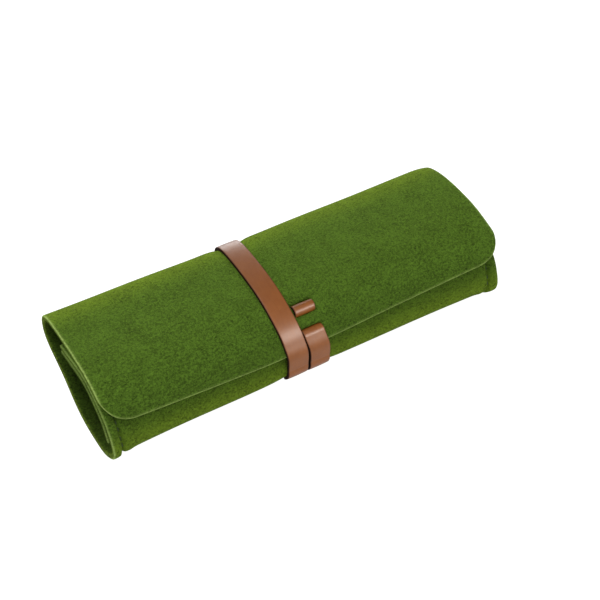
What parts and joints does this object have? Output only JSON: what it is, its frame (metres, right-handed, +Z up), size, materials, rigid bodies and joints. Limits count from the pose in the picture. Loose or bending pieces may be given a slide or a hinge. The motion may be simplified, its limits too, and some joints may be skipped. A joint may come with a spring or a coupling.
{
  "type": "brush roll case",
  "caption": "Felt roll case for brushes and pencils, folded shut as a long soft tube with a rounded front flap, held by a leather strap wound round it and threaded through slits in the flap.",
  "frame": {"origin": "on the table under the middle of the roll length, between the front and the back of the section", "axes": "+X along the roll, +Y to the back fold, -Y to the front edge of the flap, +Z up"},
  "size_m": [0.23, 0.0785, 0.053],
  "materials": {
    "outer_felt": "dense green wool felt, short matted fibre, matte",
    "lining_felt": "green wool felt, matte",
    "seam_thread": "twisted polyester sewing thread",
    "strap_leather": "smooth tan leather with dark burnished edges"
  },
  "bodies": {
    "base": {"felt_base": "outer_felt", "strap_under": "strap_leather"},
    "back_low": {"felt_back_low": "outer_felt", "strap_back_low": "strap_leather"},
    "back": {"felt_back": "outer_felt", "strap_back": "strap_leather"},
    "flap": {"felt_flap": "outer_felt", "strap_top": "strap_leather"},
    "shoulder": {"felt_shoulder": "outer_felt", "strap_shoulder": "strap_leather", "strap_woven": "strap_leather"},
    "lip": {"felt_lip": "outer_felt", "strap_lip": "strap_leather", "strap_lip_right": "strap_leather"},
    "strap_ends": {"strap_front": "strap_leather", "strap_front_right": "strap_leather"},
    "front_corner": {"felt_front_corner": "outer_felt", "strap_corner": "strap_leather"},
    "wall": {"felt_wall": "outer_felt", "lining_wall": "lining_felt", "thread_wall": "seam_thread"},
    "wall_top": {"felt_wall_top": "outer_felt", "lining_wall_top": "lining_felt", "thread_wall_top": "seam_thread"},
    "cover": {"felt_cover": "outer_felt", "lining_cover": "lining_felt", "thread_cover": "seam_thread"}
  },
  "joints": [
    {"name": "flap_fold", "type": "hinge", "parent": "back", "child": "flap", "pos_m": [0, 0.03, 0.0486], "axis": [-1, 0, 0], "range_deg": [0, 74.3]},
    {"name": "back_low_fold", "type": "hinge", "parent": "base", "child": "back_low", "pos_m": [0, 0.003, 0.0037], "axis": [-1, 0, 0], "range_deg": [0, 41.4]},
    {"name": "back_fold", "type": "hinge", "parent": "back_low", "child": "back", "pos_m": [0, 0.0345, 0.0315], "axis": [-1, 0, 0], "range_deg": [0, 63.3]},
    {"name": "shoulder_bend", "type": "hinge", "parent": "flap", "child": "shoulder", "pos_m": [0, -0.014, 0.0493], "axis": [-1, 0, 0], "range_deg": [0, 27.6]},
    {"name": "lip_bend", "type": "hinge", "parent": "shoulder", "child": "lip", "pos_m": [0, -0.0315, 0.0405], "axis": [-1, 0, 0], "range_deg": [0, 39.5]},
    {"name": "strap_crease", "type": "hinge", "parent": "lip", "child": "strap_ends", "pos_m": [0, -0.0395, 0.029], "axis": [-1, 0, 0], "range_deg": [0, 26.4]},
    {"name": "front_fold", "type": "hinge", "parent": "base", "child": "front_corner", "pos_m": [0, -0.022, 0.0037], "axis": [1, 0, 0], "range_deg": [0, 34.5]},
    {"name": "wall_fold", "type": "hinge", "parent": "front_corner", "child": "wall", "pos_m": [0, -0.0352, 0.015], "axis": [1, 0, 0], "range_deg": [0, 51.6]},
    {"name": "wall_top_fold", "type": "hinge", "parent": "wall", "child": "wall_top", "pos_m": [0, -0.0322, 0.03], "axis": [1, 0, 0], "range_deg": [0, 37.9]},
    {"name": "cover_fold", "type": "hinge", "parent": "wall_top", "child": "cover", "pos_m": [0, -0.013, 0.043], "axis": [1, 0, 0], "range_deg": [0, 29]}
  ],
  "couplings": [
    {"joint": "back_low_fold", "follows": "flap_fold", "ratio": 0.5572},
    {"joint": "back_fold", "follows": "flap_fold", "ratio": 0.85195},
    {"joint": "shoulder_bend", "follows": "flap_fold", "ratio": 0.37146},
    {"joint": "lip_bend", "follows": "flap_fold", "ratio": 0.53162},
    {"joint": "strap_crease", "follows": "flap_fold", "ratio": 0.35531},
    {"joint": "front_fold", "follows": "flap_fold", "ratio": 0.46433},
    {"joint": "wall_fold", "follows": "flap_fold", "ratio": 0.69448},
    {"joint": "wall_top_fold", "follows": "flap_fold", "ratio": 0.51009},
    {"joint": "cover_fold", "follows": "flap_fold", "ratio": 0.3903}
  ]
}
